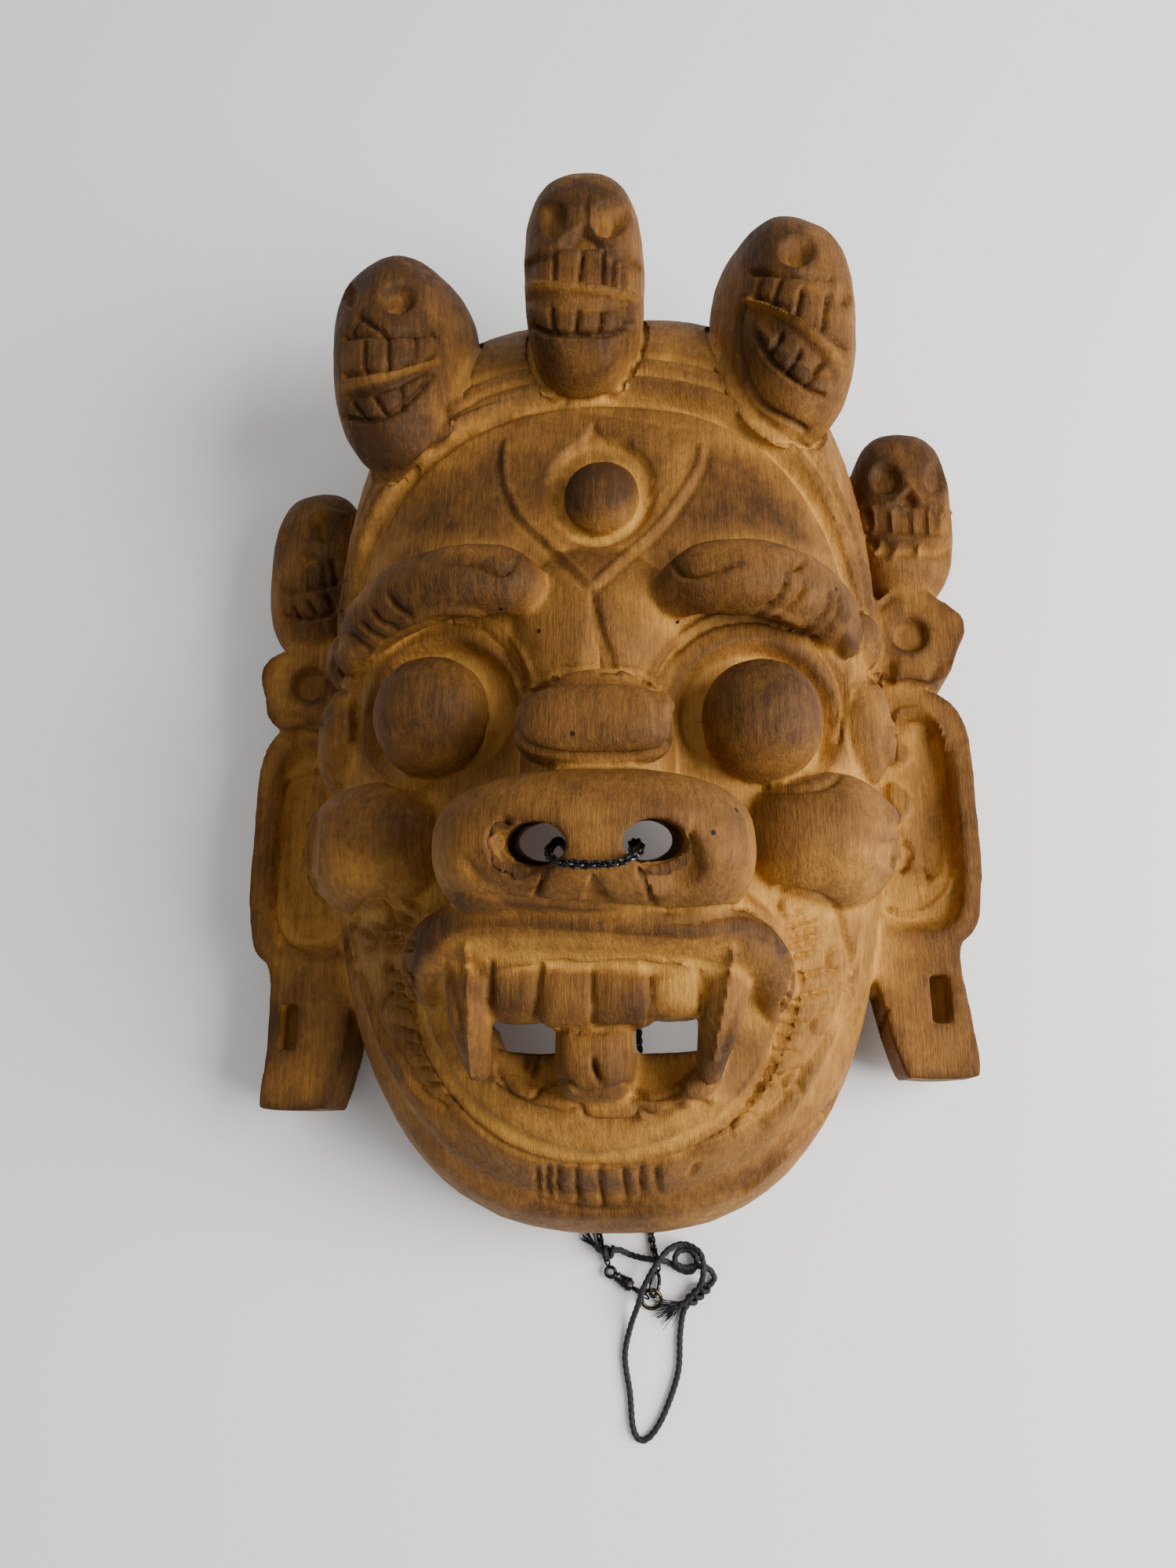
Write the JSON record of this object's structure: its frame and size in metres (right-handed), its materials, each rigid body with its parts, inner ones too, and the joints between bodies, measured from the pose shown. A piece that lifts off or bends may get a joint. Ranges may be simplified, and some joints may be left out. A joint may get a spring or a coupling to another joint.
{
  "type": "carved wooden mahakala mask",
  "caption": "Carved wooden wrathful face mask with a skull crown, ear boards and a hollow back, and a fine chain and wire loop through its nose for hanging.",
  "frame": {"origin": "on the plane of the back rim, under the middle of the wood's box, without the chain and wire", "axes": "+X to the viewer's right, +Y to the crown, +Z out of the face; the mask lies on its back rim"},
  "size_m": [0.2312, 0.3789, 0.1272],
  "materials": {
    "carved_wood": "carved light hardwood, ochre in the hollows, rubbed brown stain on the high places, satin",
    "blackened_metal": "blackened metal with worn bright edges",
    "worn_brass": "tarnished brass",
    "grey_strand": "dull dark grey stranded cord"
  },
  "bodies": {
    "root": {"mask": "carved_wood", "nose_chain": "blackened_metal", "lobster_clasp": "blackened_metal", "round_link": "worn_brass", "oval_link": "blackened_metal", "hanging_wire": "grey_strand"}
  },
  "joints": []
}
